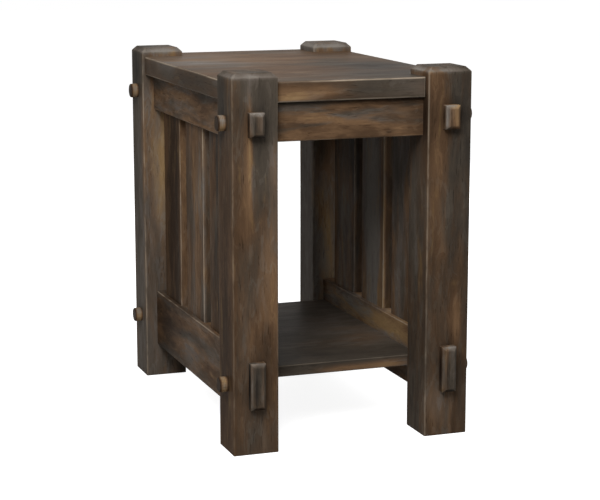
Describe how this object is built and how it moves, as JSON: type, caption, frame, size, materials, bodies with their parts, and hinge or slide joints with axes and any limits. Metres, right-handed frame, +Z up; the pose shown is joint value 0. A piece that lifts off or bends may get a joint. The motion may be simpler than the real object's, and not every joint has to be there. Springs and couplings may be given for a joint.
{
  "type": "end table",
  "caption": "Rustic hardwood end table: square legs rise past a notched top, with bevelled through tenons, round pegs, slatted sides and a low shelf.",
  "frame": {"origin": "on the floor, midway between the four legs", "axes": "+X to the right seen from the front, +Y from the front to the back, +Z up"},
  "size_m": [0.433, 0.646, 0.61],
  "materials": {
    "leg_wood": "stained dark brown, satin",
    "top_wood": "stained mid brown, satin",
    "shelf_wood": "stained dark brown, satin",
    "apron_wood": "stained mid brown, satin",
    "rail_wood": "stained mid brown, satin",
    "slat_wood": "stained dark brown, satin",
    "peg_wood": "stained mid brown, satin",
    "inner_wood": "stained dark brown, matt",
    "screw_steel": "zinc plated"
  },
  "bodies": {
    "root": {"apron_back": "apron_wood", "apron_front": "apron_wood", "button_screws": "screw_steel", "cleat_screws": "screw_steel", "leg_back_left": "leg_wood", "leg_back_right": "leg_wood", "leg_front_left": "leg_wood", "leg_front_right": "leg_wood", "peg_back_left_lower": "peg_wood", "peg_back_left_upper": "peg_wood", "peg_back_right_lower": "peg_wood", "peg_back_right_upper": "peg_wood", "peg_front_left_lower": "peg_wood", "peg_front_left_upper": "peg_wood", "peg_front_right_lower": "peg_wood", "peg_front_right_upper": "peg_wood", "rail_lower_left": "rail_wood", "rail_lower_right": "rail_wood", "rail_upper_left": "rail_wood", "rail_upper_right": "rail_wood", "shelf": "shelf_wood", "shelf_cleat_left": "inner_wood", "shelf_cleat_right": "inner_wood", "shelf_screws": "screw_steel", "slat_left_1": "slat_wood", "slat_left_2": "slat_wood", "slat_left_3": "slat_wood", "slat_right_1": "slat_wood", "slat_right_2": "slat_wood", "slat_right_3": "slat_wood", "top": "top_wood", "top_button_back": "inner_wood", "top_button_front": "inner_wood", "top_button_left_back": "inner_wood", "top_button_left_front": "inner_wood", "top_button_right_back": "inner_wood", "top_button_right_front": "inner_wood"}
  },
  "joints": []
}
